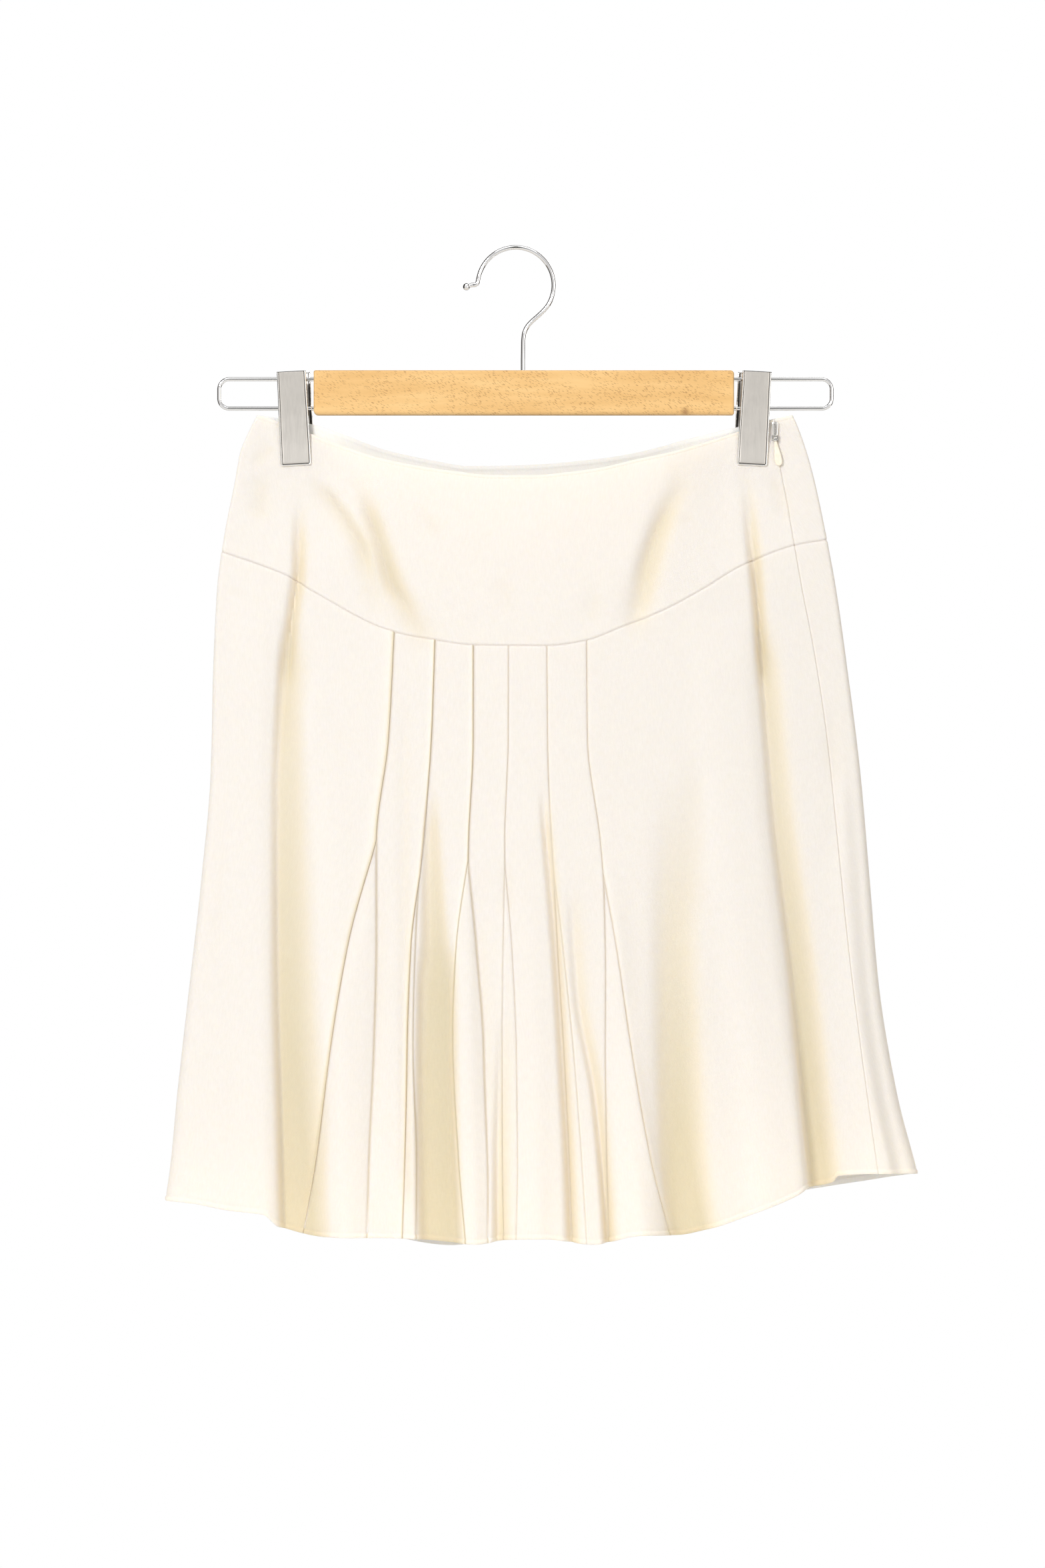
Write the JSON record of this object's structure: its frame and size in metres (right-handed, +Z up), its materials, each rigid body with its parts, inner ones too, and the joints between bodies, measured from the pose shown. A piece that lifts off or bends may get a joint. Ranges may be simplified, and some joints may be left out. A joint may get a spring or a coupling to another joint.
{
  "type": "mini skirt on clip hanger",
  "caption": "Mini skirt with a curved hip yoke and narrow front panels flared by godets, a side zip with a swinging pull tab, hung by its waist from the clips of a wooden bar hanger.",
  "frame": {"origin": "inner crown of the hanger's hook, where it rests on its rail", "axes": "+X to the viewer's right along the bar, +Y from front to back, +Z up"},
  "size_m": [0.5078, 0.084, 0.6773],
  "materials": {
    "cloth": "fine matt crepe",
    "wood": "satin lacquer on beech",
    "chrome": "bright",
    "clip_steel": "satin plate with bright edges",
    "spring_steel": "dark wire",
    "zip_metal": "bright",
    "pull_enamel": "cream enamel"
  },
  "bodies": {
    "garment": {"front_yoke": "cloth", "back_yoke": "cloth", "front_left": "cloth", "front_1": "cloth", "front_2": "cloth", "front_3": "cloth", "front_4": "cloth", "front_5": "cloth", "front_right": "cloth", "back_panel": "cloth", "godet_1": "cloth", "godet_2": "cloth", "godet_3": "cloth", "godet_4": "cloth", "godet_5": "cloth", "godet_6": "cloth", "wood_bar": "wood", "hook": "chrome", "loop_left": "chrome", "loop_right": "chrome", "clip_left_front": "clip_steel", "clip_left_rear": "clip_steel", "clip_right_front": "clip_steel", "clip_right_rear": "clip_steel", "clip_left_spring": "spring_steel", "clip_right_spring": "spring_steel", "zip_slider": "zip_metal"},
    "zip_pull": {"zip_pull": "pull_enamel"}
  },
  "joints": [
    {"name": "zip_pull_swing", "type": "hinge", "parent": "garment", "child": "zip_pull", "pos_m": [0.17497, -0.0037, -0.1283], "axis": [-1, 0, 0], "range_deg": [0, 125]}
  ]
}
